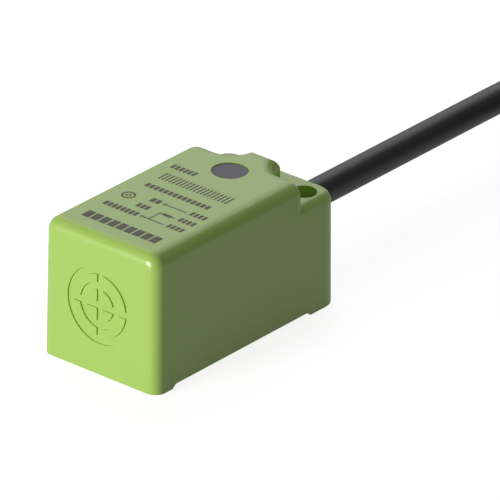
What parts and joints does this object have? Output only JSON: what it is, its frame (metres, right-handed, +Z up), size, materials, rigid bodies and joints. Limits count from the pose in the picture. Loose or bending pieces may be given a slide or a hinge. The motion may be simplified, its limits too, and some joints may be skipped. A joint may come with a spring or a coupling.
{
  "type": "proximity sensor",
  "caption": "Square-bodied inductive proximity sensor with its sensing face at the front, screw holes at the rear corners, indicator window and cable.",
  "frame": {"origin": "on the base plane, under the middle of the housing", "axes": "+Y from the sensing face to the cable, +Z up through the screw holes, +X to the right seen from the sensing face"},
  "size_m": [0.0387, 0.1569, 0.017],
  "materials": {
    "green_shell": "satin moulded plastic, lime green",
    "window": "smoked translucent plastic",
    "ferrite": "sintered ferrite, dull dark grey",
    "bobbin": "natural moulded nylon",
    "copper": "enamelled copper",
    "board": "green solder mask on glass laminate",
    "chip_body": "black moulding compound",
    "tin": "tinned metal and solder",
    "chip_ceramic": "fired ceramic",
    "led": "clear epoxy, orange-red when lit",
    "resin": "black casting resin",
    "elastomer": "soft black elastomer",
    "clamp": "crimped brass",
    "sheath": "oil-resistant vinyl, satin black",
    "brown": "brown vinyl insulation",
    "blue": "blue vinyl insulation",
    "black": "black vinyl insulation"
  },
  "bodies": {
    "root": {"housing": "green_shell", "bottom_cover": "green_shell", "led_window": "window", "pot_core": "ferrite", "coil_bobbin": "bobbin", "coil_winding": "copper", "coil_lead_wires": "copper", "circuit_board": "board", "sensor_ic": "chip_body", "sensor_ic_pins": "tin", "output_transistor": "chip_body", "chip_resistors": "chip_ceramic", "chip_capacitors": "chip_ceramic", "protection_diodes": "chip_body", "led_chip": "led", "solder_joints": "tin", "cable_seal": "elastomer", "cable_clamp": "clamp", "cable_sheath_end": "sheath", "core_brown_inner": "brown", "core_blue_inner": "blue", "core_black_inner": "black", "potting_resin": "resin", "cable_run": "sheath", "cable_tail": "sheath", "cable_coil": "sheath", "lead_brown": "brown", "lead_blue": "blue", "lead_black": "black", "tip_brown": "tin", "tip_blue": "tin", "tip_black": "tin"}
  },
  "joints": []
}
